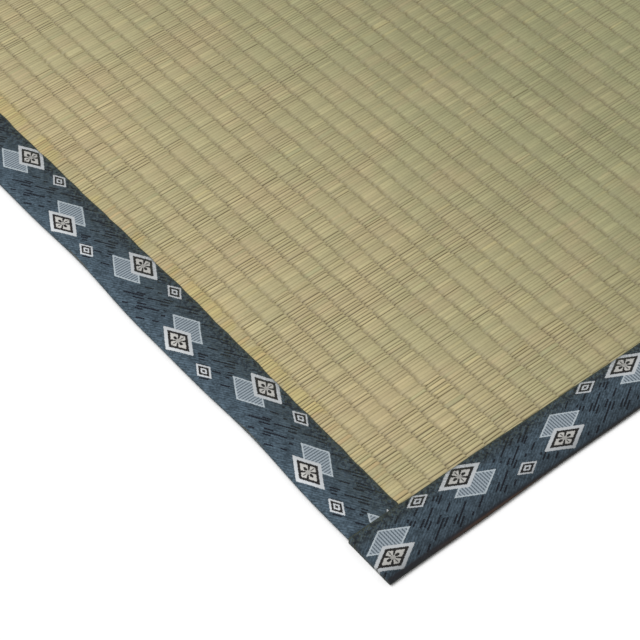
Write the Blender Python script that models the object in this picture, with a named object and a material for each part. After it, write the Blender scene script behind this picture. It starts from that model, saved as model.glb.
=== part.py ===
"""A woven rush mat with a cloth border folded round all four edges, lying flat.

The stems run across the mat, along X, and the hidden warps run along its length, Y. The weave draws both
faces into soft ribs that run the length of the mat. The border's two side strips lie between the two end
strips, which pass over the corners and stand a little proud there, with their cut ends turned in.

The origin is on the surface the mat lies on, under its middle. +Y runs along the length and +Z is up.
"""
import math

import bmesh
import bpy

# Overall sizes, in metres: across the side strips, and over the end strips
MAT_WIDTH = 0.880
MAT_LENGTH = 1.760

# Border cloth: its doubled thickness, its width on each face, and how far the end strips pass the side strips
CLOTH = 0.0010
STRIP_WIDTH = 0.0300
END_PROUD = 0.0010
FOLD_RADIUS = 0.0013
FOLD_STEPS = 4
TURNED_EDGE_RADIUS = 0.0003
TURNED_EDGE_STEPS = 2

# Weave: the thickness at a rib's crest and under the strips, the ribs' pitch, the depth of the grooves, and how
# far the step down beside a strip reaches
WEAVE_HEIGHT = 0.0034
PRESSED_THICKNESS = 0.0012
RIB_PITCH = 0.0115
TOP_GROOVE = 0.0008
UNDER_GROOVE = 0.0005
PRESSED_RAMP = 0.0002

# Room between two pieces that touch
GAP = 0.0003

# Finishes: colours in linear light, and roughness
RUSH_COLOUR = (0.42, 0.38, 0.22)
RUSH_ROUGHNESS = 0.75
CLOTH_COLOUR = (0.045, 0.072, 0.105)
CLOTH_ROUGHNESS = 0.80

# Where the pieces meet, worked out from the sizes above
STRIP_HEIGHT = 2 * CLOTH + 2 * GAP + PRESSED_THICKNESS
PRESSED_LOW = CLOTH + GAP
PRESSED_HIGH = PRESSED_LOW + PRESSED_THICKNESS
WEB_X = MAT_WIDTH / 2 - CLOTH - GAP
WEB_Y = MAT_LENGTH / 2 - CLOTH - GAP
OPEN_X = MAT_WIDTH / 2 - STRIP_WIDTH - GAP
OPEN_Y = MAT_LENGTH / 2 - STRIP_WIDTH - GAP
RIBS_EACH_SIDE = int(OPEN_X / RIB_PITCH)

# One rib's profile: how far along the pitch, and how much of the groove's depth is left there
TOP_PROFILE = ((0.0, 1.0), (0.13, 0.25), (0.5, 0.0), (0.87, 0.25))
UNDER_PROFILE = ((0.0, 1.0), (0.14, 0.0), (0.86, 0.0))


def clear_scene():
    """Take away whatever the file starts with."""
    for item in list(bpy.data.objects):
        bpy.data.objects.remove(item)


def make_material(name, colour, roughness):
    """A plain matt finish in the piece's main colour."""
    material = bpy.data.materials.new(name)
    material.use_nodes = True
    shader = material.node_tree.nodes["Principled BSDF"]
    shader.inputs["Base Color"].default_value = (*colour, 1.0)
    shader.inputs["Roughness"].default_value = roughness
    shader.inputs["Metallic"].default_value = 0.0
    return material


def add_piece(name, mesh, material):
    """Put a finished mesh in the scene under the name of its piece."""
    mesh.materials.append(material)
    piece = bpy.data.objects.new(name, mesh)
    bpy.context.collection.objects.link(piece)
    return piece


def rib_row(profile):
    """Places across the mat from left to right, each with the share of the groove's depth that is left."""
    row = []
    for rib in range(-RIBS_EACH_SIDE - 1, RIBS_EACH_SIDE + 1):
        for along, depth in profile:
            x = (rib + along) * RIB_PITCH
            if abs(x) < OPEN_X - 2 * PRESSED_RAMP:
                row.append((x, depth))
    return row


def web_section(ribbed):
    """The mat's outline in X and Z, top face from left to right, then under face from right to left."""
    crest, floor = (WEAVE_HEIGHT, 0.0) if ribbed else (PRESSED_HIGH, PRESSED_LOW)
    top_groove, under_groove = (TOP_GROOVE, UNDER_GROOVE) if ribbed else (0.0, 0.0)
    inner = OPEN_X - PRESSED_RAMP
    top = [(-WEB_X, PRESSED_HIGH), (-OPEN_X, PRESSED_HIGH), (-inner, crest - top_groove / 2)]
    top += [(x, crest - depth * top_groove) for x, depth in rib_row(TOP_PROFILE)]
    top += [(inner, crest - top_groove / 2), (OPEN_X, PRESSED_HIGH), (WEB_X, PRESSED_HIGH)]
    under = [(-WEB_X, PRESSED_LOW), (-OPEN_X, PRESSED_LOW), (-inner, floor)]
    under += [(x, floor + depth * under_groove) for x, depth in rib_row(UNDER_PROFILE)]
    under += [(inner, floor), (OPEN_X, PRESSED_LOW), (WEB_X, PRESSED_LOW)]
    return top + under[::-1]


def make_rush_mat():
    """One web, drawn from end to end of the mat and pressed flat where the end strips hold it."""
    stations = ((-WEB_Y, False), (-OPEN_Y, False), (-OPEN_Y + PRESSED_RAMP, True),
                (OPEN_Y - PRESSED_RAMP, True), (OPEN_Y, False), (WEB_Y, False))
    bm = bmesh.new()
    place = bm.verts.layers.int.new("place")
    start, ribbed = stations[0]
    outline = [bm.verts.new((x, start, z)) for x, z in web_section(ribbed)]
    for number, vert in enumerate(outline):
        vert[place] = number
    end_face = bm.faces.new(outline)
    for number, (y, ribbed) in enumerate(stations[1:]):
        drawn = bmesh.ops.extrude_face_region(bm, geom=[end_face])["geom"]
        if number > 0:
            bmesh.ops.delete(bm, geom=[end_face], context="FACES_ONLY")
        end_face = next(item for item in drawn if isinstance(item, bmesh.types.BMFace))
        section = web_section(ribbed)
        for vert in end_face.verts:
            x, z = section[vert[place]]
            vert.co = (x, y, z)
    bmesh.ops.recalc_face_normals(bm, faces=bm.faces)
    mesh = bpy.data.meshes.new("rush_mat")
    bm.to_mesh(mesh)
    bm.free()
    add_piece("rush_mat", mesh, make_material("rush", RUSH_COLOUR, RUSH_ROUGHNESS))


def box(bm, low, high):
    """A plain box between two corners."""
    for vert in bmesh.ops.create_cube(bm, size=1.0)["verts"]:
        for axis in range(3):
            vert.co[axis] = high[axis] if vert.co[axis] > 0 else low[axis]


def long_edges(bm, test):
    """The edges that run along the strip and whose two ends both pass a test."""
    edges = [edge for edge in bm.edges if all(test(vert.co) for vert in edge.verts)]
    return [edge for edge in edges if abs(edge.verts[0].co.x - edge.verts[1].co.x) > STRIP_WIDTH]


def round_edges(bm, edges, radius, steps):
    """Round the given edges."""
    bmesh.ops.bevel(bm, geom=edges, offset=radius, offset_type="OFFSET", segments=steps, profile=0.5,
                    affect="EDGES", material=-1)


def fold_strip(name, half_length, closed_ends, material):
    """A strip of doubled cloth folded round the mat's edge.

    It is made along X, with its fold at y = 0 and its two legs reaching to y = STRIP_WIDTH. The mat's edge
    goes into the slot between the legs. Closed ends are the turned-in cut ends of the tape.
    """
    bm = bmesh.new()
    box(bm, (-half_length, 0.0, 0.0), (half_length, STRIP_WIDTH, STRIP_HEIGHT))
    turned_edge = long_edges(bm, lambda co: co.y > STRIP_WIDTH / 2 and co.z > STRIP_HEIGHT / 2)
    round_edges(bm, turned_edge, TURNED_EDGE_RADIUS, TURNED_EDGE_STEPS)
    fold = long_edges(bm, lambda co: co.y < STRIP_WIDTH / 2)
    round_edges(bm, fold, FOLD_RADIUS, FOLD_STEPS)
    mesh = bpy.data.meshes.new(name)
    bm.to_mesh(mesh)
    bm.free()
    strip = add_piece(name, mesh, material)

    slot_end = WEB_X + GAP if closed_ends else half_length + STRIP_WIDTH
    bm = bmesh.new()
    box(bm, (-slot_end, CLOTH, CLOTH), (slot_end, 2 * STRIP_WIDTH, STRIP_HEIGHT - CLOTH))
    slot_mesh = bpy.data.meshes.new(name + "_slot")
    bm.to_mesh(slot_mesh)
    bm.free()
    slot = bpy.data.objects.new(name + "_slot", slot_mesh)
    bpy.context.collection.objects.link(slot)
    slot.hide_render = True
    slot.display_type = "WIRE"
    slot.parent = strip
    cut = strip.modifiers.new("slot", "BOOLEAN")
    cut.operation = "DIFFERENCE"
    cut.solver = "EXACT"
    cut.object = slot
    return strip


def make_border():
    """Two side strips along the length, and two end strips that pass over the corners."""
    cloth = make_material("border_cloth", CLOTH_COLOUR, CLOTH_ROUGHNESS)
    side_half = MAT_LENGTH / 2 - STRIP_WIDTH - GAP
    end_half = MAT_WIDTH / 2 + END_PROUD
    quarter_turn = math.pi / 2
    strips = (
        ("side_border_left", side_half, False, (-MAT_WIDTH / 2, 0.0, 0.0), -quarter_turn),
        ("side_border_right", side_half, False, (MAT_WIDTH / 2, 0.0, 0.0), quarter_turn),
        ("end_border_near", end_half, True, (0.0, -MAT_LENGTH / 2, 0.0), 0.0),
        ("end_border_far", end_half, True, (0.0, MAT_LENGTH / 2, 0.0), 2 * quarter_turn),
    )
    for name, half_length, closed_ends, location, turn in strips:
        strip = fold_strip(name, half_length, closed_ends, cloth)
        strip.location = location
        strip.rotation_euler.z = turn


clear_scene()
make_rush_mat()
make_border()
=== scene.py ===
"""A rush carpet with a patterned cloth border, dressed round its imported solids.

The stems run across the carpet, along X, and its soft ribs run along its length, Y. Sizes are in metres.
"""
import math

import bmesh
import bpy
import numpy as np
from mathutils import Matrix, Vector


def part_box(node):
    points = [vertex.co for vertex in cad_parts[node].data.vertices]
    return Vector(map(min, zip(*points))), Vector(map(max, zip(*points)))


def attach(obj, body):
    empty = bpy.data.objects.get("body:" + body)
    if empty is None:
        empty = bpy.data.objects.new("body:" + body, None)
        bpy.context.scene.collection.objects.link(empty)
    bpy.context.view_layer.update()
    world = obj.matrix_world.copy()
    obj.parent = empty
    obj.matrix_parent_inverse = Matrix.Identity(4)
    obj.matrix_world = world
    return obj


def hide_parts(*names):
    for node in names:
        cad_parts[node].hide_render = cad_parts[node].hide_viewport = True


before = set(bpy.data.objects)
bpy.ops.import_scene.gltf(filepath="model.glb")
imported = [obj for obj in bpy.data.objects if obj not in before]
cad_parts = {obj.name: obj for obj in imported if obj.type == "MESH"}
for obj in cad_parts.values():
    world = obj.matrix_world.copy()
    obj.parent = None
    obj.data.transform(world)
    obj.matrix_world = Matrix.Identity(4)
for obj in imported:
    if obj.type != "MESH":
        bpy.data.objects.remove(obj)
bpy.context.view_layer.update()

# The web: cotton warps with rush stems packed between them. Only the dark bottoms of its gaps show from
# above, and its ribs from below. Its edges are pressed thin inside the border.
MM = 0.001
RIB_PITCH = 11.5 * MM
STEM_PITCH = 0.97 * MM
CREST_HEIGHT = 3.4 * MM
CORE_TOP = 1.95 * MM
UNDER_GROOVE = 0.5 * MM
STRIP_WIDTH = 30 * MM
STRIP_ROOM = 0.3 * MM
PRESSED_LOW, PRESSED_HIGH = 1.3 * MM, 2.5 * MM
PRESSED_RAMP = 0.5 * MM
HIDDEN_STEP = 2.0 * MM
WEB_SHARP_ANGLE = math.radians(50)

# A rib's underside: how far across the rib, and the share of the groove's depth there
UNDER_PROFILE = ((0.0, 1.0), (0.07, 0.45), (0.16, 0.1), (0.32, 0.0), (0.68, 0.0), (0.84, 0.1), (0.93, 0.45))

web_low, web_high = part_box("rush_mat")
side_low, side_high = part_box("side_border_left")
end_low, end_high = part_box("end_border_near")
HALF_WIDTH, HALF_LENGTH = -side_low.x, -end_low.y
OPEN_X = HALF_WIDTH - STRIP_WIDTH - STRIP_ROOM
OPEN_Y = HALF_LENGTH - STRIP_WIDTH - STRIP_ROOM
RIB_COUNT = 2 * math.ceil(OPEN_X / RIB_PITCH)
LEFT_RIB = -RIB_COUNT / 2 * RIB_PITCH


def web_outline(top, floor):
    """The web's section in X and Z: its top from left to right, then its underside back again."""
    inner = OPEN_X - PRESSED_RAMP
    step = OPEN_X + HIDDEN_STEP
    groove = UNDER_GROOVE if floor == 0.0 else 0.0
    over = [(web_low.x, PRESSED_HIGH), (-step, PRESSED_HIGH), (PRESSED_RAMP - step, top)]
    over += [(step - PRESSED_RAMP, top), (step, PRESSED_HIGH), (web_high.x, PRESSED_HIGH)]
    under = [(web_low.x, PRESSED_LOW), (-OPEN_X, PRESSED_LOW), (-inner, floor)]
    for rib in range(RIB_COUNT):
        for place, depth in UNDER_PROFILE:
            x = LEFT_RIB + (rib + place) * RIB_PITCH
            if abs(x) < inner - PRESSED_RAMP:
                under.append((x, floor + depth * groove))
    under += [(inner, floor), (OPEN_X, PRESSED_LOW), (web_high.x, PRESSED_LOW)]
    return over + under[::-1]


def web_mesh():
    """The section drawn from end to end of the carpet."""
    step = OPEN_Y + HIDDEN_STEP
    near_end = [(web_low.y, PRESSED_HIGH, PRESSED_LOW), (-step, PRESSED_HIGH, PRESSED_LOW),
                (PRESSED_RAMP - step, CORE_TOP, PRESSED_LOW), (-OPEN_Y, CORE_TOP, PRESSED_LOW),
                (PRESSED_RAMP - OPEN_Y, CORE_TOP, 0.0)]
    stations = near_end + [(-y, top, floor) for y, top, floor in near_end[::-1]]
    bm = bmesh.new()
    place = bm.verts.layers.int.new("place")
    outline = [bm.verts.new((x, web_low.y, z)) for x, z in web_outline(PRESSED_HIGH, PRESSED_LOW)]
    for number, vert in enumerate(outline):
        vert[place] = number
    end_face = bm.faces.new(outline)
    for number, (y, top, floor) in enumerate(stations[1:]):
        drawn = bmesh.ops.extrude_face_region(bm, geom=[end_face])["geom"]
        if number > 0:
            bmesh.ops.delete(bm, geom=[end_face], context="FACES_ONLY")
        end_face = next(item for item in drawn if isinstance(item, bmesh.types.BMFace))
        section = web_outline(top, floor)
        for vert in end_face.verts:
            x, z = section[vert[place]]
            vert.co = (x, y, z)
    bmesh.ops.recalc_face_normals(bm, faces=bm.faces)
    mesh = bpy.data.meshes.new("rush_web")
    bm.to_mesh(mesh)
    bm.free()
    mesh.shade_smooth()
    mesh.set_sharp_from_angle(angle=WEB_SHARP_ANGLE)
    return mesh


def add_piece(name, mesh, material):
    """Put a finished mesh in the scene as a piece of the carpet."""
    mesh.materials.append(material)
    piece = bpy.data.objects.new(name, mesh)
    bpy.context.scene.collection.objects.link(piece)
    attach(piece, "root")
    return piece


class Tone:
    """A number or colour that varies over a surface. Sums on it add Math nodes to its material."""

    def __init__(self, material, socket=None):
        self.material = material
        self.socket = socket

    def node(self, kind, settings, inputs, output=0):
        """Add a node, set it up, feed its sockets by name or place, and give one of its outputs."""
        tree = self.material.node_tree
        node = tree.nodes.new("ShaderNode" + kind)
        for name, value in settings.items():
            setattr(node, name, value)
        for name, value in inputs.items():
            if isinstance(value, Tone):
                tree.links.new(value.socket, node.inputs[name])
            else:
                node.inputs[name].default_value = value
        return Tone(self.material, node.outputs[output])

    def math(self, operation, *others):
        """This value put through a Math node, with any others after it."""
        return self.node("Math", {"operation": operation}, dict(enumerate((self, *others))))

    def __add__(self, other):
        return self.math("ADD", other)

    def __sub__(self, other):
        return self.math("SUBTRACT", other)

    def __rsub__(self, other):
        return self * -1.0 + other

    def __mul__(self, other):
        return self.math("MULTIPLY", other)

    def __truediv__(self, other):
        return self.math("DIVIDE", other)

    def __abs__(self):
        return self.math("ABSOLUTE")

    def __lt__(self, other):
        return self.math("LESS_THAN", other)

    def __gt__(self, other):
        return self.math("GREATER_THAN", other)

    __radd__ = __add__
    __rmul__ = __mul__

    def fade(self, start, end):
        """0 up to start, 1 from end on, and a soft rise between them."""
        return self.node("MapRange", {"interpolation_type": "SMOOTHSTEP"}, {0: self, 1: start, 2: end})

    def between(self, low, high):
        """This share of the way from one colour to another."""
        ends = [value if isinstance(value, Tone) else (*value, 1.0) for value in (low, high)]
        return self.node("Mix", {"data_type": "RGBA"}, {0: self, 6: ends[0], 7: ends[1]}, 2)

    def times(self, shade):
        """A colour made lighter or darker all over by a shade."""
        return self.node("VectorMath", {"operation": "SCALE"}, {0: self, "Scale": shade})

    def parts(self):
        """A vector's three parts."""
        return [self.node("SeparateXYZ", {}, {0: self}, number) for number in range(3)]


def point(x, y, z):
    """A place made of three values."""
    first = next(value for value in (x, y, z) if isinstance(value, Tone))
    return first.node("CombineXYZ", {}, {0: x, 1: y, 2: z})


def cloudy(place, scale, detail=2.0):
    """Soft uneven patches, from 0 to 1 and mostly round a half."""
    return place.node("TexNoise", {}, {"Vector": place, "Scale": scale, "Detail": detail})


def stem_tone(x, number, pace, apart, layer):
    """A tone of each stem's own, which changes slowly along it.

    pace is how far a metre of stem goes in the pattern, apart how far off the next stem lies in it, and layer
    which of its layers is read.
    """
    return cloudy(point(x * pace, number * apart, layer), 1.0)


def new_finish(name):
    """A material's empty node tree, ready to be mixed."""
    material = bpy.data.materials.new(name)
    material.use_nodes = True
    return Tone(material)


def finish_with(start, colour, roughness, bump_height, bump_depth, **constants):
    """Join the finished colour, roughness and relief to the surface."""
    tree = start.material.node_tree
    surface = tree.nodes["Principled BSDF"]
    for name, value in constants.items():
        surface.inputs[name.replace("_", " ")].default_value = value
    tree.links.new(colour.socket, surface.inputs["Base Color"])
    tree.links.new(roughness.socket, surface.inputs["Roughness"])
    bump = start.node("Bump", {}, {"Height": bump_height, "Distance": bump_depth, "Strength": 1.0})
    tree.links.new(bump.socket, surface.inputs["Normal"])
    return start.material


WEB_SHADOW = (0.110, 0.085, 0.035)
RUSH_BACK = (0.330, 0.280, 0.150)
RUSH_BACK_DARK = (0.230, 0.190, 0.095)
UNDERSIDE_TOP = (0.8 * MM, 1.2 * MM)
GROOVE_SHADE_SPREAD = 0.09
GROOVE_SHADE_STRENGTH = 0.6
BACK_PACE, BACK_APART, BACK_LAYERS = 20, 5.13, 0.37
WEB_RELIEF = 0.35 * MM


def web_finish():
    """Painted shadow on top, between the stems. Below, stems side by side, over in every other rib, with
    painted shade between them and in the rib grooves.
    """
    start = new_finish("rush_web")
    x, y, z = start.node("TexCoord", {}, {}, "Object").parts()
    ribs = (x - LEFT_RIB) / RIB_PITCH
    rib = ribs.math("FLOOR")
    stem = y / STEM_PITCH + rib
    across = 1 - stem.math("PINGPONG", 1.0)
    number = (stem / 2).math("ROUND")
    streak = stem_tone(x, number, BACK_PACE, BACK_APART, rib * BACK_LAYERS)
    below = 1 - z.fade(*UNDERSIDE_TOP)
    back = streak.fade(0.3, 0.7).between(RUSH_BACK_DARK, RUSH_BACK)
    # Painted shade in the lines between the stems below
    back = across.fade(0.72, 1.0).between(back, RUSH_BACK_DARK)
    # Painted shade in the grooves between the ribs below, and painted shadow over the whole top
    groove = 1 - ribs.math("PINGPONG", 0.5).fade(0.0, GROOVE_SHADE_SPREAD)
    back = (groove * GROOVE_SHADE_STRENGTH).between(back, WEB_SHADOW)
    colour = below.between(WEB_SHADOW, back)
    roughness = streak * 0.2 + 0.6
    height = (1 - across * across) * 0.7 + streak * 0.3
    return finish_with(start, colour, roughness, height, WEB_RELIEF)


web = add_piece("rush_web", web_mesh(), web_finish())
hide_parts("rush_mat")


# The stems: dry rush, each going over one rib and under the next, packed until it is twice its share wide
# on top. They lie tight and flat in some places, and round with dark gaps in others, most of all near the
# sides and in every other rib. A few gaps stand open as cracks.
STEMS_BENEATH = 2.5 * MM
STEM_COUNT = 2 * math.floor((OPEN_Y + STEMS_BENEATH) / STEM_PITCH) + 1
BANDS = 5
GRIDS_APART = 10.0

# The stations of one stem across one rib: how far over the rib where it is on top and where it is beneath,
# and how many millimetres under the crest
OVER_STATIONS = (-0.01, 0.14, 0.91, 1.08)
UNDER_STATIONS = (0.02, 0.12, 0.93, 1.06)
STATION_DIPS = (0.98, 0.09, 0.06, 0.98)
STATIONS = len(STATION_DIPS)

# How unevenly the stems lie: along the carpet, in height, and at the ends of what shows of each in a rib
UNEVEN_PITCH = 0.16 * MM
BUNCHED = 0.25 * MM
SLOW_WANDER = 0.30 * MM
QUICK_WANDER = 0.18 * MM
UNEVEN_HEIGHT = 0.07 * MM
PROUD_STEM = 0.14 * MM
PROUD_SHARE = 0.015
RAGGED_ENDS = 0.34 * MM

# How loose the weave is, where 1 is loosest: all over, by the sides, by the ends, from rib to rib, and in
# patches, wide areas, rows and cracks. The sides start at a share of the half width, and the ends at a
# distance from the middle
LOOSE = 0.28
LOOSE_SIDES = 0.28
LOOSE_ENDS = 0.09
LOOSE_OTHER_RIBS = 0.09
LOOSE_PATCHES = 0.10
LOOSE_PATCHES_SIDES = 0.05
LOOSE_AREAS = 0.09
LOOSE_ROWS = 0.09
LOOSE_ROWS_SIDES = 0.15
CRACK = 0.45
CRACK_LEVEL = 2.3
SIDES_FROM = (0.50, 0.92)
ENDS_FROM = (0.68, 0.80)
TIGHTEST = 0.02
GAP_CURVE = 1.4
SUNK_TIGHT = 0.08 * MM
SUNK_BY_GAP = 0.62 * MM

# How the border presses the weave down beside it: where that starts and ends, and how far down
PRESS_START, PRESS_END = 3.5 * MM, -0.5 * MM
PRESS_DEPTH = 0.5 * MM

random = np.random.default_rng(23)


def ramp(value, start, end):
    """0 up to start, 1 from end on, and a straight rise between them."""
    return np.clip((value - start) / (end - start), 0, 1)


def smooth(value, start, end):
    """0 up to start, 1 from end on, and a soft rise between them."""
    share = ramp(value, start, end)
    return share * share * (3 - 2 * share)


def even_noise(shape, spreads):
    """Random values for every stem in every rib, mostly from -1 to 1, smoothed over some stems and ribs."""
    field = random.standard_normal(shape)
    for axis, spread in enumerate(spreads):
        if spread > 0:
            reach = min(math.ceil(3 * spread), (shape[axis] - 1) // 2)
            bell = np.exp(-0.5 * (np.arange(-reach, reach + 1) / spread) ** 2)
            field = np.apply_along_axis(np.convolve, axis, field, bell, "same")
    return field / field.std()


grid = (STEM_COUNT, RIB_COUNT)
stem_place = (np.arange(STEM_COUNT) - (STEM_COUNT - 1) / 2) * STEM_PITCH
stem_place += UNEVEN_PITCH * random.standard_normal(STEM_COUNT)
stem_place += BUNCHED * even_noise((STEM_COUNT, 1), (7, 0))[:, 0]
wander = SLOW_WANDER * even_noise(grid, (40, 5)) + QUICK_WANDER * even_noise(grid, (1.0, 1.2))
from_middle = np.abs(np.arange(RIB_COUNT) + 0.5 - RIB_COUNT / 2) / (RIB_COUNT / 2)
near_side = ramp(from_middle, *SIDES_FROM)
near_end = ramp(np.abs(stem_place), *ENDS_FROM)[:, None]
looseness = LOOSE + LOOSE_SIDES * near_side + LOOSE_ENDS * near_end
looseness = looseness + LOOSE_OTHER_RIBS * (np.arange(RIB_COUNT) % 2 - 0.5)
looseness += (LOOSE_PATCHES + LOOSE_PATCHES_SIDES * near_side) * even_noise(grid, (3.0, 1.5))
looseness += LOOSE_AREAS * even_noise(grid, (16, 4))
looseness += (LOOSE_ROWS + LOOSE_ROWS_SIDES * near_side) * even_noise(grid, (0.4, 1.6))
looseness += CRACK * (even_noise(grid, (0.3, 2.0)) > CRACK_LEVEL)
gap = np.clip(looseness, TIGHTEST, 1) ** GAP_CURVE
beside_gap = (np.roll(gap, 1, axis=0) + np.roll(gap, -1, axis=0)) / 2
sunk = SUNK_TIGHT + SUNK_BY_GAP * gap
raised = UNEVEN_HEIGHT * random.standard_normal(grid)
raised += PROUD_STEM * (random.random(grid) > 1 - PROUD_SHARE)
ragged = RAGGED_ENDS * random.standard_normal((STEM_COUNT, RIB_COUNT + 1))


def read_grid(mesh):
    """Which rib of the band, which station in it and which stem each corner of the flat grids stands for."""
    place = np.zeros(3 * len(mesh.vertices), np.float32)
    mesh.vertices.foreach_get("co", place)
    place = place.reshape(-1, 3).astype(float)
    local = np.round(place[:, 0] / GRIDS_APART).astype(int)
    station = np.round((place[:, 0] - GRIDS_APART * local + 1) / 2 * (STATIONS - 1)).astype(int)
    stem = np.round((place[:, 1] + 1) / 2 * (STEM_COUNT - 1)).astype(int)
    return local, station, stem


def lay_stems(mesh, rib, station, stem, over):
    """Take each corner to its place in the weave, and note there what the finish reads."""
    along = np.where(over, np.array(OVER_STATIONS)[station], np.array(UNDER_STATIONS)[station])
    next_rib = np.clip(rib + 1, 0, RIB_COUNT - 1)
    share = np.clip(along, 0, 1)
    x = LEFT_RIB + (rib + along) * RIB_PITCH + ragged[stem, rib + (station >= STATIONS // 2)]
    y = stem_place[stem] + (1 - share) * wander[stem, rib] + share * wander[stem, next_rib]
    room = np.minimum(OPEN_X - np.abs(x), OPEN_Y - np.abs(y))
    z = CREST_HEIGHT - np.array(STATION_DIPS)[station] * MM
    z -= PRESS_DEPTH * smooth(room, PRESS_START, PRESS_END)
    tip = (station == 0) | (station == STATIONS - 1)
    z += np.where(over, raised[stem, rib], np.where(tip, 0.0, -sunk[stem, rib]))
    mesh.vertices.foreach_set("co", np.stack((x, y, z), 1).astype(np.float32).ravel())

    values = mesh.attributes.new("weave", "FLOAT_VECTOR", "POINT")
    values.data.foreach_set("vector", np.stack((along, stem, rib), 1).astype(np.float32).ravel())
    values = mesh.attributes.new("gap", "FLOAT", "POINT")
    values.data.foreach_set("value", np.where(over, beside_gap[stem, rib], gap[stem, rib]).astype(np.float32))


MAP_LENGTHS = 3
MAP_MARGIN = 0.03


def map_band(mesh, ribs, local, station, stem):
    """The map for baking: the band in three lengths side by side, with every rib in its own column."""
    corners = np.zeros(len(mesh.loops), np.int32)
    mesh.loops.foreach_get("vertex_index", corners)
    corners = corners.reshape(-1, 4)
    row = stem[corners]
    length_rows = math.ceil((STEM_COUNT - 1) / MAP_LENGTHS)
    length = np.minimum(row.min(1) // length_rows, MAP_LENGTHS - 1)[:, None]
    column = local[corners] + MAP_MARGIN + (1 - 2 * MAP_MARGIN) * station[corners] / (STATIONS - 1)
    baked = np.stack(((length + column / ribs) / MAP_LENGTHS, (row - length * length_rows) / length_rows), 2)
    layer = mesh.uv_layers.new(name="OFBake")
    layer.data.foreach_set("uv", baked.astype(np.float32).ravel())


def stems_mesh(name, first_rib, ribs):
    """One band of ribs. Each is a grid with a row for every stem, raised where the stem is over."""
    bm = bmesh.new()
    for rib in range(ribs):
        bmesh.ops.create_grid(bm, x_segments=STATIONS - 1, y_segments=STEM_COUNT - 1, size=1.0,
                              matrix=Matrix.Translation((GRIDS_APART * rib, 0.0, 0.0)))
    mesh = bpy.data.meshes.new(name)
    bm.to_mesh(mesh)
    bm.free()

    local, station, stem = read_grid(mesh)
    rib = first_rib + local
    over = (stem + rib) % 2 == 0
    lay_stems(mesh, rib, station, stem, over)
    map_band(mesh, ribs, local, station, stem)
    mesh.shade_smooth()

    # The faces look up, and the dark bottoms between two stems stay sharp
    bm = bmesh.new()
    bm.from_mesh(mesh)
    bm.faces.ensure_lookup_table()
    if bm.faces[0].normal.z < 0:
        bmesh.ops.reverse_faces(bm, faces=bm.faces)
    for edge in bm.edges:
        first, second = (vert.index for vert in edge.verts)
        edge.smooth = bool(over[first] or over[second])
    bm.to_mesh(mesh)
    bm.free()
    mesh.update()
    return mesh


RUSH_TAN = (0.396, 0.332, 0.176)
RUSH_INNER = (0.220, 0.214, 0.106)
RUSH_GREEN = (0.290, 0.292, 0.150)
RUSH_PINK = (0.380, 0.288, 0.160)
RUSH_RUSSET = (0.400, 0.262, 0.118)
RUSH_YELLOW = (0.395, 0.330, 0.140)
RUSH_SHADE = (0.090, 0.064, 0.024)

# The stems' own tones, each as its pace, how far apart the stems lie in it, and its layer
WARMTH = (15, 5.13, 1.0)
YELLOW = (12, 3.71, 9.0)
LIGHT = (20, 7.77, 5.0)

# How far out the middle's darker, greener tone gives way to the sides' tan, the tones start to vary more, and
# stains start beside the side strips
TAN_FROM = (0.13, 0.415)
VARIED_FROM = (0.05, 0.36)
STAINED_FROM = (OPEN_X - 12 * MM, OPEN_X - 6 * MM)
RUSH_RELIEF = 0.03 * MM


def rush_colour(x, y, warmth, yellow):
    """The rush's colours: tan by the sides, darker and greener in the middle, and stained beside the side
    strips.
    """
    patches = cloudy(point(x, y, 0.0), 14.0)
    flush = cloudy(point(x, y, 7.0), 32.0)
    stains = cloudy(point(x, y, 3.0), 48.0).fade(0.47, 0.57)
    varied = 0.35 + abs(x).fade(*VARIED_FROM) * 0.65
    side = abs(x).fade(*STAINED_FROM)
    colour = abs(x).fade(*TAN_FROM).between(RUSH_INNER, RUSH_TAN)
    for tone, start, end, strength, tint in (
        (patches, 0.38, 0.60, 0.34, RUSH_GREEN),
        (flush, 0.46, 0.66, varied * 0.30, RUSH_PINK),
        (warmth, 0.55, 0.75, varied * 0.38, RUSH_PINK),
        (yellow, 0.58, 0.76, 0.28, RUSH_YELLOW),
        (1 - warmth, 0.58, 0.74, varied * 0.50, RUSH_GREEN),
    ):
        colour = (tone.fade(start, end) * strength).between(colour, tint)
    colour = (side * (stains * 0.75 + yellow * 0.15)).between(colour, RUSH_YELLOW)
    return (side * warmth.fade(0.48, 0.66) * 0.38).between(colour, RUSH_RUSSET)


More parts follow.
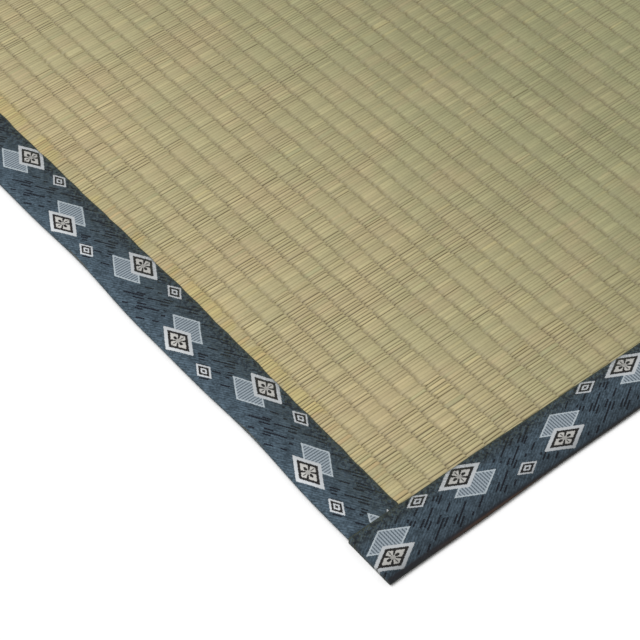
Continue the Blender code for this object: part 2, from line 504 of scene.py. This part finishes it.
def stems_finish():
    """Dry rush: every stem has its own tone, which changes slowly along it, and fine fibres."""
    start = new_finish("rush_stems")
    along, stem, rib = start.node("Attribute", {"attribute_name": "weave"}, {}, "Vector").parts()
    gap_share = start.node("Attribute", {"attribute_name": "gap"}, {}, "Fac")
    x, y, z = start.node("TexCoord", {}, {}, "Object").parts()
    pair = stem + rib
    across = pair.math("PINGPONG", 1.0)
    number = (pair / 2).math("ROUND") * 2 - rib
    one_float = start.node("TexWhiteNoise", {"noise_dimensions": "2D"}, {"Vector": point(number, rib, 0.0)})
    warmth = stem_tone(x, number, *WARMTH)
    yellow = stem_tone(x, number, *YELLOW)
    light = stem_tone(x, number, *LIGHT)
    fibre = cloudy(point(x * 160, y * 7000, z * 2000), 1.0, 3.0)
    grain = cloudy(point(x, y, z), 1100.0)

    # Painted light and shade: each stem is painted lighter along its round back and darker towards its sides,
    # with a painted highlight on its back, most of all beside a gap, and one in twelve gets a painted
    # highlight that makes it lighter still
    shade = 0.77 + light * 0.12 + one_float * 0.18 + fibre * 0.14 + grain * 0.22 - across * across * 0.08
    shade = shade + gap_share.fade(0.2, 0.9) * (1 - across).fade(0.5, 1.0) * 0.10 + (one_float > 0.92) * 0.08
    colour = rush_colour(x, y, warmth, yellow).times(shade)

    # Shade gathers in the line between two stems, and where a stem dips under the next rib
    line = (gap_share * 1.12 + 0.15) * across.fade(0.48, 1.0)
    colour = (line * 0.80).between(colour, RUSH_SHADE)
    tip = abs(along - 0.60).fade(0.33, 0.60) * (0.26 + one_float * 0.42)
    colour = tip.between(colour, RUSH_SHADE)
    roughness = 0.42 + fibre * 0.25 + one_float * 0.08
    return finish_with(start, colour, roughness, fibre, RUSH_RELIEF)


stems_material = stems_finish()
for band in range(BANDS):
    first_rib = round(band * RIB_COUNT / BANDS)
    ribs = round((band + 1) * RIB_COUNT / BANDS) - first_rib
    name = f"rush_stems_{band + 1}"
    add_piece(name, stems_mesh(name, first_rib, ribs), stems_material)


# The border tape: slate blue cloth, 64 mm wide, woven with diamonds and short slanting dashes. It is folded
# round the carpet's edge with both its long edges turned in, so one strip has a leg on each face.
STRIP_HEIGHT = side_high.z

# One strip's section in millimetres, inward from the fold and up from the floor: from the top leg's edge
# round the fold to the lower leg's edge, and then back along the inside
OUTSIDE = (
    (30.0, 3.38), (29.88, 3.68), (29.5, 3.80), (26.0, 3.80), (21.0, 3.80), (15.0, 3.80), (9.0, 3.78),
    (5.0, 3.72), (2.6, 3.50), (1.1, 2.95), (0.28, 2.35), (0.0, 1.85), (0.25, 1.15), (1.0, 0.38), (2.4, 0.05),
    (6.0, 0.0), (15.0, 0.0), (24.0, 0.0), (29.6, 0.0), (30.0, 0.35),
)
INSIDE = (
    (29.8, 0.78), (22.6, 0.78), (21.6, 0.45), (8.0, 0.45), (2.4, 0.52), (1.0, 1.15), (0.7, 1.85), (1.0, 2.45),
    (2.6, 3.02), (8.0, 3.32), (21.6, 3.35), (22.6, 3.00), (29.7, 3.00),
)
FOLD_START = 8
STRIP_SHARP_ANGLE = math.radians(60)
WELD_DISTANCE = 0.001 * MM

section = OUTSIDE + INSIDE
steps = [math.dist(one, other) for one, other in zip(section, section[1:] + section[:1])]
walked = [sum(steps[:number]) for number in range(len(section) + 1)]

# The map for baking, in shares of its width and height: where a row's outside ends and its inside lies, how
# far the rows reach, and the two closed ends above them
MAP_OUTSIDE = 0.86
MAP_INSIDE, MAP_INSIDE_HEIGHT = 0.87, 0.12
MAP_ROW_LENGTH, MAP_ROWS_HEIGHT = 0.998, 0.985
MAP_RIM_LEFT, MAP_RIMS_APART, MAP_RIM_LENGTH = 0.02, 0.5, 0.4
MAP_RIM_LOW, MAP_RIM_HEIGHT = 0.988, 0.008


def map_level(spot):
    """How high in its row of the map a point of the section lies."""
    outer = walked[len(OUTSIDE) - 1]
    if walked[spot] <= outer:
        return MAP_OUTSIDE * walked[spot] / outer
    return MAP_INSIDE + MAP_INSIDE_HEIGHT * (walked[spot] - outer) / (walked[-1] - outer)


def across_cloth(spot):
    """How far across the tape a point of the section lies, from the fold and on along the cloth round it."""
    if spot <= FOLD_START:
        return section[spot][0] * MM
    return (section[FOLD_START][0] + walked[FOLD_START] - walked[spot]) * MM


def close_ends(bm, tape, baked, tape_place):
    """Fill the strip's two open ends, and give them their places on the tape and on the map."""
    rims = bmesh.ops.holes_fill(bm, edges=[edge for edge in bm.edges if edge.is_boundary], sides=0)["faces"]
    for number, face in enumerate(rims):
        left = MAP_RIM_LEFT + MAP_RIMS_APART * number
        for loop in face.loops:
            loop[tape].uv = tape_place(loop.vert.co.x, loop.vert.co.y)
            share = loop.vert.co.y / STRIP_WIDTH, loop.vert.co.z / STRIP_HEIGHT
            loop[baked].uv = left + MAP_RIM_LENGTH * share[0], MAP_RIM_LOW + MAP_RIM_HEIGHT * share[1]


def strip_mesh(name, places, shape, tape_place, map_rows):
    """A folded strip, along X with its fold at y = 0.

    It is a flat grid wrapped round the section and welded along the seam. shape gives a corner's place from
    its place along the strip and its place in the section. tape_place gives the tape's own coordinates.
    """
    bm = bmesh.new()
    tape = bm.loops.layers.uv.new("tape")
    baked = bm.loops.layers.uv.new("OFBake")
    inward = bm.verts.layers.float.new("inward")
    spans = len(places) - 1
    where = {}
    for vert in bmesh.ops.create_grid(bm, x_segments=spans, y_segments=len(section), size=1.0)["verts"]:
        where[vert] = round((vert.co.x + 1) / 2 * spans), round((vert.co.y + 1) / 2 * len(section))
    per_row = math.ceil(spans / map_rows)
    longest = max(places[min(first + per_row, spans)] - places[first] for first in range(0, spans, per_row))
    for face in bm.faces:
        row = min(where[vert][0] for vert in face.verts) // per_row
        for loop in face.loops:
            station, spot = where[loop.vert]
            loop[tape].uv = tape_place(places[station], across_cloth(spot))
            along = (places[station] - places[row * per_row]) / longest
            loop[baked].uv = MAP_ROW_LENGTH * along, MAP_ROWS_HEIGHT * (row + map_level(spot)) / map_rows
    for vert, (station, spot) in where.items():
        across, up = section[spot % len(section)]
        vert[inward] = across * MM / STRIP_WIDTH
        inside = len(OUTSIDE) <= spot < len(section)
        vert.co = shape(places[station], across * MM, up * MM, inside)
    bmesh.ops.remove_doubles(bm, verts=bm.verts, dist=WELD_DISTANCE)
    close_ends(bm, tape, baked, tape_place)
    bmesh.ops.recalc_face_normals(bm, faces=bm.faces)
    for edge in bm.edges:
        edge.smooth = edge.calc_face_angle(0.0) < STRIP_SHARP_ANGLE
    mesh = bpy.data.meshes.new(name)
    bm.to_mesh(mesh)
    bm.free()
    mesh.shade_smooth()
    return mesh


# The tape's pattern, in millimetres along the tape and across it. Its repeat and its threads come first, then
# the figures: half a figure's size, where the first one's middle is, and how far the next is out of step
HALF_REPEAT = 53.25
HALF_CLOTH = 16.0
THREAD = 0.35
FLOWER = ((13.0, 7.5), (8.3, 9.1), (-0.3, -1.0))
HATCHED = ((13.15, 7.35), (12.2, 17.1), (-1.0, 15.3))
SMALL = ((6.45, 3.85), (37.0, 25.9), (-1.0, -2.5))

# In the flower: how far its eye reaches, and how far out the leaves lie along the tape and across it
EYE = 1.6
LONG_LEAF = 2.5
SHORT_LEAF = 2.3

# In the hatched diamond: the lines' pitch, and how often each is broken and how far out of step with the next
HATCH_PITCH = 1.52
HATCH_BREAKS = 1.4
HATCH_STAGGER = 0.75

# Rings, as shares of the way from a figure's middle to its edge
PETALS_END, FLOWER_FRAME = 0.54, 0.74
HATCHED_FRAME = 0.885
SMALL_DOT = 0.2
SMALL_RING, SMALL_RING_HALF = 0.585, 0.155

# The slanting dashes of one repeat, each from its one end to its other. The window of one repeat starts where
# its edges cut none of them
DASH_SLOPE = math.radians(31.5)
DASH_WIDTH = 0.88
DASH_WINDOW = (13.0, 1.2)
DASHES = (
    (20.5, 22.5, 24.8, 24.8), (25.2, 19.2, 27.0, 20.4), (25.3, 17.2, 27.6, 18.9), (26.0, 15.7, 28.8, 17.8),
    (30.2, 20.6, 34.5, 22.7), (37.6, 22.8, 43.2, 25.3), (30.8, 27.6, 35.5, 29.6), (28.0, 13.3, 33.2, 16.3),
    (29.8, 12.3, 40.2, 18.8), (30.0, 10.4, 34.8, 13.5), (35.8, 10.4, 40.5, 13.3), (29.0, 4.2, 40.5, 11.2),
    (37.2, 7.2, 42.0, 10.3), (42.4, 21.5, 44.9, 23.1), (43.6, 20.4, 46.9, 22.2), (43.4, 18.6, 48.2, 21.5),
    (43.5, 13.0, 48.3, 15.8), (41.8, 5.8, 46.5, 8.8), (43.2, 4.7, 54.2, 11.7), (42.8, 3.0, 48.5, 5.8),
    (51.5, 4.0, 53.5, 5.2), (56.8, 5.2, 62.8, 9.2), (18.0, 3.2, 20.2, 4.5), (22.3, 1.5, 26.2, 4.3),
    (68.8, 6.8, 73.8, 9.7), (70.5, 5.7, 81.3, 12.2), (71.3, 4.0, 75.5, 6.3), (77.8, 4.0, 81.0, 5.8),
    (78.0, 24.5, 81.0, 26.3), (78.8, 20.0, 81.0, 21.0), (81.5, 17.5, 82.5, 18.5), (83.0, 15.0, 87.2, 16.9),
    (84.3, 13.5, 95.0, 19.5), (84.3, 11.3, 88.8, 14.3), (83.5, 20.7, 95.0, 26.0), (90.2, 25.5, 93.8, 28.0),
    (91.5, 22.7, 96.0, 25.2), (92.7, 12.9, 94.7, 13.9), (95.5, 21.6, 101.0, 24.5), (97.3, 20.7, 107.3, 26.0),
    (97.6, 19.1, 102.0, 21.7), (97.8, 14.1, 102.2, 16.4), (99.3, 9.0, 100.8, 9.9), (98.0, 5.9, 102.5, 8.9),
    (100.0, 5.0, 102.7, 6.9), (103.5, 3.0, 107.2, 5.0), (84.0, 28.9, 89.0, 30.5), (99.0, 29.0, 102.0, 30.5),
)

SLATE = (0.071, 0.106, 0.138)
SLATE_DEEP = (0.018, 0.030, 0.040)
SLATE_SHADOW = (0.043, 0.051, 0.034)
# Painted shade for the end folds
FOLD_PAINTED_SHADE = (0.012, 0.011, 0.013)
# Painted warm brown reflection for the end folds' very edge
FOLD_WARM_REFLECTION = (0.060, 0.027, 0.014)
DASH_BLACK = (0.004, 0.006, 0.011)
FIGURE_BLACK = (0.010, 0.009, 0.009)
FIGURE_WHITE = (0.430, 0.450, 0.465)
PETAL_WHITE = (0.425, 0.418, 0.395)
HATCH_EDGE = (0.370, 0.420, 0.450)
HATCH_PALE = (0.275, 0.320, 0.358)
HATCH_DARK = (0.058, 0.080, 0.100)


def slate_ground(along, across, cloud, mottle):
    """The ground: slate blue, clouded, and streaked darker along the twill."""
    cosine, sine = math.cos(DASH_SLOPE), math.sin(DASH_SLOPE)
    down_twill = along * cosine + across * sine
    twill = across * cosine - along * sine
    streak = cloudy(point(down_twill * 0.30, twill * 1.5, 3.0), 1.0)
    pale = (cloud * 0.3 + mottle * 0.45 + streak * 0.65 - 0.2).fade(0.32, 0.68)
    slanting = (twill.math("PINGPONG", 0.66) < 0.22) * streak.fade(0.40, 0.56)
    return pale.between(SLATE_DEEP, SLATE).times(1.0 - slanting * 0.46)


def woven_dashes(along, across):
    """1 on the slanting dashes, and 2 where two meet."""
    cosine, sine = math.cos(DASH_SLOPE), math.sin(DASH_SLOPE)
    along = along.math("WRAP", DASH_WINDOW[0] + 2 * HALF_REPEAT, DASH_WINDOW[0])
    across = across.math("WRAP", DASH_WINDOW[1] + 2 * HALF_CLOTH, DASH_WINDOW[1])
    down_slope = along * cosine + across * sine
    off_slope = across * cosine - along * sine
    dashes = down_slope * 0.0
    for start_along, start_across, end_along, end_across in DASHES:
        start = start_along * cosine + start_across * sine
        end = end_along * cosine + end_across * sine
        middle = (start_across + end_across) / 2 * cosine - (start_along + end_along) / 2 * sine
        within = down_slope.math("COMPARE", (start + end) / 2, (end - start) / 2)
        dashes = within.math("MULTIPLY_ADD", off_slope.math("COMPARE", middle, DASH_WIDTH / 2), dashes)
    return dashes


def nearest_figure(along, across, half_size, first, slip):
    """Places from the middle of the nearest figure of a kind, along, across, and as a share of its size.

    The next figure is half a repeat on and half the cloth over, and a little further by slip, and so on by
    turns.
    """
    row = ((along - first[0]) / HALF_REPEAT + 0.5).math("FLOOR")
    odd = (row / 2).math("FRACT") * 2
    beside = abs(along - first[0] - row * HALF_REPEAT - odd * slip[0])
    over = abs((across - first[1] - row * HALF_CLOTH - odd * slip[1]).math("WRAP", HALF_CLOTH, -HALF_CLOTH))
    return beside, over, beside / half_size[0] + over / half_size[1]


def hatched_diamond(by_thread, along, across, mottle):
    """The hatched diamonds and their colours: broken pale lines across the tape in a pale frame."""
    reach = nearest_figure(*by_thread, *HATCHED)[2]
    stagger = (along / HATCH_PITCH).math("FLOOR") * HATCH_STAGGER
    broken = ((across + stagger).math("PINGPONG", HATCH_BREAKS / 2) < 0.2) * 0.6
    line = along.math("PINGPONG", HATCH_PITCH / 2).fade(0.26, 0.44).math("MAXIMUM", broken)
    hatch = (line * (0.75 + mottle * 0.5)).between(HATCH_DARK, HATCH_PALE)
    return reach < 1.0, (reach > HATCHED_FRAME).between(hatch, HATCH_EDGE)


def small_diamond(by_thread):
    """The small white diamonds and their colours: each with a dark ring and a dark dot."""
    reach = nearest_figure(*by_thread, *SMALL)[2]
    ring = reach.math("COMPARE", SMALL_RING, SMALL_RING_HALF) + (reach < SMALL_DOT)
    return reach < 1.0, ring.math("MINIMUM", 1.0).between(FIGURE_WHITE, FIGURE_BLACK)


def flower_diamond(by_thread):
    """The flowers and their colours: four white petals, dark between them, in a white frame."""
    beside, over, reach = nearest_figure(*by_thread, *FLOWER)
    outward = beside + over
    from_leaf = beside - LONG_LEAF
    spokes = (abs(beside - over * 1.12) < outward * 0.14 + 0.24) * (outward > EYE) + (outward < EYE) * 0.3
    long_leaves = (over * over * 2.0 + from_leaf * from_leaf * 0.62) < 1.0
    short_leaves = ((beside + abs(over - SHORT_LEAF) * 0.35) < 0.52) * 0.8
    marks = (spokes + long_leaves + short_leaves).math("MINIMUM", 1.0)
    petals = marks.between(PETAL_WHITE, FIGURE_BLACK)
    inner = (reach > PETALS_END).between(petals, FIGURE_BLACK)
    return reach < 1.0, (reach > FLOWER_FRAME).between(inner, FIGURE_WHITE)


# Where painted light and shade, the specks and the painted warm reflection lie on the strips: in shares of
# the strip's width from its fold, and in metres
HEM_SHADE_FROM = (0.66, 0.98)
HEM_SHADE_FROM_SIDES = (0.30, 0.80)
SPECKS_FROM = (0.60, 0.88)
RIM_SHADE_FROM = (0.95, 0.995)
FOLD_SHADE_TO = (0.02, 0.42)
END_FOLD_SHADE_FROM = (HALF_LENGTH - 2.2 * MM, HALF_LENGTH - 0.9 * MM)
WARM_REFLECTION_FROM = (HALF_LENGTH - 0.9 * MM, HALF_LENGTH - 0.2 * MM)
CORNER_WITHOUT_REFLECTION = (HALF_WIDTH - 60 * MM, HALF_WIDTH - 15 * MM)
LOW_LEG_SHADE = (1.2 * MM, 2.8 * MM)
TAPE_RELIEF = 0.06 * MM


def tape_finish():
    """Jacquard cloth: slate blue, with near-black dashes, and white and hatched diamonds over them."""
    start = new_finish("border_tape")
    along, across = start.node("UVMap", {"uv_map": "tape"}, {}).times(1 / MM).parts()[:2]
    inward = start.node("Attribute", {"attribute_name": "inward"}, {}, "Fac")
    x, y, z = start.node("TexCoord", {}, {}, "Object").parts()
    by_thread = [place.math("SNAP", THREAD) + THREAD / 2 for place in (along, across)]
    mottle = cloudy(point(along, across, 0.0), 0.9, 3.0)
    cloud = cloudy(point(along, across, 5.0), 0.22)
    yarn = cloudy(point(by_thread[0] * 0.4, by_thread[1] * 4.0, 2.0), 1.0)

    dashes = woven_dashes(*by_thread)
    ground = slate_ground(along, across, cloud, mottle)
    colour = dashes.math("MINIMUM", 1.0).between(ground, DASH_BLACK)
    hatched = hatched_diamond(by_thread, along, across, mottle)
    covered = 0.0
    for diamond, tone in (hatched, small_diamond(by_thread), flower_diamond(by_thread)):
        colour = diamond.between(colour, tone)
        covered = covered + diamond
    plain = 1 - covered.math("MINIMUM", 1.0)

    # The hem is mottled with painted shade and specked dark, both more so on the plain cloth, and the side
    # strips' painted hem shade starts further out
    on_side = abs(y) < OPEN_Y
    hem_shade = inward.fade(*HEM_SHADE_FROM).math("MAXIMUM", inward.fade(*HEM_SHADE_FROM_SIDES) * on_side * 0.45)
    hem_shade = hem_shade * (0.5 + plain * 0.5)
    specks = cloudy(point(along, across, 11.0), 0.55).fade(0.49, 0.54) * inward.fade(*SPECKS_FROM) * plain
    colour = (mottle.fade(0.38, 0.58) * hem_shade * 0.80).between(colour, SLATE_SHADOW)
    colour = (specks * 0.66).between(colour, DASH_BLACK)
    # A thin line of painted shade along the turned inner edge
    colour = (inward.fade(*RIM_SHADE_FROM) * 0.6).between(colour, SLATE_SHADOW)

    # Painted light and shade: the end strips are painted a little darker than the side strips, and towards
    # the fold the side strips are painted lighter and the end strips darker. The end folds are painted nearly
    # black with shade, with a painted warm brown reflection at the very edge, away from the corners
    outer = 1 - inward.fade(*FOLD_SHADE_TO)
    colour = colour.times(0.94 + on_side * 0.06 + outer * (on_side * 0.66 - 0.36))
    colour = (abs(y).fade(*END_FOLD_SHADE_FROM) * 0.85).between(colour, FOLD_PAINTED_SHADE)
    # A painted warm brown reflection along the end folds' very edge, fading out towards the corners
    warm_reflection = abs(y).fade(*WARM_REFLECTION_FROM) * (0.3 + cloud * 0.6) * (1 - abs(x).fade(*CORNER_WITHOUT_REFLECTION))
    colour = warm_reflection.between(colour, FOLD_WARM_REFLECTION)
    # Painted shade on the lower leg, darker towards the floor
    low = 1 - z.fade(*LOW_LEG_SHADE)
    colour = (low * 0.5).between(colour, SLATE_SHADOW)
    colour = colour.times(0.80 + yarn * 0.26 + mottle * 0.14)

    raised = (1 - plain) * 0.4
    threads = along.math("PINGPONG", THREAD) + across.math("PINGPONG", THREAD / 2) * 2
    roughness = 0.80 - raised * 0.3 + mottle * 0.1
    height = raised + threads * 0.7 - dashes * 0.2
    return finish_with(start, colour, roughness, height, TAPE_RELIEF, Specular_IOR_Level=0.25)


tape_material = tape_finish()


# The side strips: each is one length of tape, folded round a long edge of the carpet. Its two ends are
# pressed flat and run a little way beneath the end strips.
SIDE_STEP = 5.2 * MM
LAPPED = 3.5 * MM
LAPPED_STEPS = (LAPPED + 0.9 * MM, LAPPED - 0.6 * MM, 0.0)
LAP_PRESS = 0.55 * MM
LAP_TUCK = 3.2 * MM
LAP_FROM = (OPEN_Y - 0.7 * MM, OPEN_Y + 0.6 * MM)
SIDE_TOP_FROM = (2 * MM, 3.4 * MM)
SIDE_TAPE_START = 10.4 * MM
SIDE_TAPE_EDGE = 32.7 * MM
SIDE_EDGE_OUT = 0.1 * MM
SIDE_MAP_ROWS = 5

# How a strip's fold, inner edge and crown wander: each wave's size, its length and where it is highest, in
# millimetres from one corner of the carpet
SIDE_FOLD = ((0.80, 150, 112), (0.25, 75, 180))
SIDE_EDGE = ((0.75, 330, 205), (0.15, 61, 20), (0.16, 23, 5), (0.12, 13.7, 3))
SIDE_CROWN = ((0.05, 47, 10), (0.07, 121, 60))


def wave(place, humps):
    """How far waves of the given sizes, lengths and peaks have moved a line at a place."""
    return sum(size * math.cos(2 * math.pi * (place - peak) / length) for size, length, peak in humps)


def strip_places(half_length, step, end_steps):
    """Places along a strip, evenly spaced but for the close steps at its ends."""
    body = half_length - end_steps[0]
    spans = 2 * round(body / step)
    places = [-body + 2 * body * number / spans for number in range(spans + 1)]
    tips = [half_length - step_in for step_in in end_steps[1:]]
    return [-place for place in tips[::-1]] + places + tips


def side_shape(place, across, up, inside):
    """A side strip's soft lines: its fold and its inner edge wander, and its ends are pressed flat."""
    from_corner = (HALF_LENGTH - place) / MM
    fold = wave(from_corner, SIDE_FOLD) * MM
    edge = SIDE_EDGE_OUT + wave(from_corner, SIDE_EDGE) * MM
    share = across / STRIP_WIDTH
    crown = wave(from_corner, SIDE_CROWN) * MM * smooth(up, *SIDE_TOP_FROM)
    under = smooth(abs(place), *LAP_FROM)
    across = across + fold * (1 - share) * (1 - under) + edge * share
    across += under * (0.5 - share) * LAP_TUCK
    up += crown + under * (LAP_PRESS - up * 2 * LAP_PRESS / STRIP_HEIGHT)
    return place, across, up


def side_tape_place(place, across):
    """Where on the tape, along it and across it, a place of a side strip is."""
    return HALF_LENGTH - place - SIDE_TAPE_START, SIDE_TAPE_EDGE - across


def put_in_place(mesh, turns, corner):
    """Turn a strip by quarter turns and take its fold to the carpet's edge."""
    turn = Matrix.Rotation(turns * math.pi / 2, 4, "Z")
    mesh.transform(Matrix.Translation(corner) @ turn)


side_half = OPEN_Y + LAPPED
side_places = strip_places(side_half, SIDE_STEP, LAPPED_STEPS)
for side, turns in (("left", -1), ("right", 1)):
    name = "side_border_" + side
    mesh = strip_mesh(name + "_tape", side_places, side_shape, side_tape_place, SIDE_MAP_ROWS)
    put_in_place(mesh, turns, (turns * HALF_WIDTH, 0, 0))
    strip = add_piece(name + "_tape", mesh, tape_material)
    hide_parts(name)


# The end strips: two more lengths of the tape. Each passes over both side strips at the corners and stands a
# millimetre proud of them, with its cut ends turned in.
END_STEP = 2.3 * MM
END_TIP_STEPS = (2.5 * MM, 1.3 * MM, 0.5 * MM, 0.15 * MM, 0.0)
LAP_RISE = 0.62 * MM
RISE_AT_FOLD = 0.55
OVER_SIDES_FROM = (OPEN_X - 2.0 * MM, OPEN_X + 1.5 * MM)
END_TOP_FROM = (1.9 * MM, 3.2 * MM)
RIB_DIP = 0.05 * MM
SHUT_FROM = (2.4 * MM, 0.6 * MM)
SHUT_ROOM = 0.03 * MM
TIP_FROM = (0.6 * MM, 0.0)
TIP_ROUNDING = 0.22
END_FOLD = ((0.70, 300, 150), (0.15, 83, 20))
END_EDGE = ((0.25, 210, 60), (0.12, 67, 10))
END_MAP_ROWS = 3

end_half = end_high.x


def end_shape(place, across, up, inside):
    """An end strip's soft lines: it dips into the ribs' grooves, lifts over the side strips and closes."""
    from_corner = (place + end_half) / MM
    tip = end_half - abs(place)
    share = across / STRIP_WIDTH
    fold = wave(from_corner, END_FOLD) * MM
    edge = wave(from_corner, END_EDGE) * MM
    on_top = smooth(up, *END_TOP_FROM)
    lap = smooth(abs(place), *OVER_SIDES_FROM)
    ribs = RIB_DIP * math.cos(2 * math.pi * (place - LEFT_RIB) / RIB_PITCH + math.pi) * share * (1 - lap)
    middle = STRIP_HEIGHT / 2
    up += on_top * (lap * LAP_RISE * (RISE_AT_FOLD + (1 - RISE_AT_FOLD) * share) + ribs)
    if inside:
        side = SHUT_ROOM if up > middle else -SHUT_ROOM
        up += (middle + side - up) * smooth(tip, *SHUT_FROM)
    else:
        up += (middle - up) * TIP_ROUNDING * smooth(tip, *TIP_FROM)
    return place, across + fold * (1 - share) + edge * share, up


def end_tape_place(place, across):
    """Where on the tape, along it and across it, a place of an end strip is."""
    return place + HALF_WIDTH, across


end_places = strip_places(end_half, END_STEP, END_TIP_STEPS)
for end, turns, along in (("near", 0, -HALF_LENGTH), ("far", 2, HALF_LENGTH)):
    name = "end_border_" + end
    mesh = strip_mesh(name + "_tape", end_places, end_shape, end_tape_place, END_MAP_ROWS)
    put_in_place(mesh, turns, (0, along, 0))
    strip = add_piece(name + "_tape", mesh, tape_material)
    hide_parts(name)


# The studio: a plain white floor, a broad soft light from high on the left, and pale light from all round.
FLOOR_SIZE = 200.0
FLOOR_WHITE = (0.90, 0.90, 0.90, 1.0)
FLOOR_ROUGHNESS = 0.9
KEY_STRENGTH = 2.1
KEY_SOFTNESS = math.radians(45)
KEY_FROM = Vector((-0.30, 0.10, 0.95))
SKY_WHITE = (1.0, 1.0, 1.0, 1.0)
SKY_STRENGTH = 0.55

bm = bmesh.new()
bmesh.ops.create_grid(bm, x_segments=4, y_segments=4, size=FLOOR_SIZE / 2)
floor_mesh = bpy.data.meshes.new("floor")
bm.to_mesh(floor_mesh)
bm.free()
floor_material = bpy.data.materials.new("floor")
floor_material.use_nodes = True
floor_surface = floor_material.node_tree.nodes["Principled BSDF"]
floor_surface.inputs["Base Color"].default_value = FLOOR_WHITE
floor_surface.inputs["Roughness"].default_value = FLOOR_ROUGHNESS
floor_mesh.materials.append(floor_material)
floor = bpy.data.objects.new("floor", floor_mesh)
bpy.context.scene.collection.objects.link(floor)

key = bpy.data.lights.new("key", "SUN")
key.energy = KEY_STRENGTH
key.angle = KEY_SOFTNESS
key_light = bpy.data.objects.new("key", key)
key_light.rotation_mode = "QUATERNION"
key_light.rotation_quaternion = KEY_FROM.to_track_quat("Z", "Y")
bpy.context.scene.collection.objects.link(key_light)

world = bpy.data.worlds.new("studio")
world.use_nodes = True
sky = world.node_tree.nodes["Background"]
sky.inputs["Color"].default_value = SKY_WHITE
sky.inputs["Strength"].default_value = SKY_STRENGTH
bpy.context.scene.world = world
bpy.context.scene.view_settings.view_transform = "Standard"


# The camera: above the near left corner, looking down along the carpet and to the right.
CAMERA_PLACE = Vector((-0.748157, -1.265070, 0.747790))
CAMERA_AIM = Vector((-0.36839, -0.73662, 0.0036))
CAMERA_ROLL = math.radians(-3.26)
CAMERA_LENS = 110.196
CAMERA_SENSOR = 36
CAMERA_NEAREST = 0.05

camera = bpy.data.cameras.new("camera")
camera.lens = CAMERA_LENS
camera.sensor_width = CAMERA_SENSOR
camera.clip_start = CAMERA_NEAREST
camera_object = bpy.data.objects.new("camera", camera)
camera_object.location = CAMERA_PLACE
camera_object.rotation_mode = "QUATERNION"
aim = (CAMERA_AIM - CAMERA_PLACE).to_track_quat("-Z", "Y")
camera_object.rotation_quaternion = aim @ Matrix.Rotation(CAMERA_ROLL, 3, "Z").to_quaternion()
bpy.context.scene.collection.objects.link(camera_object)
bpy.context.scene.camera = camera_object
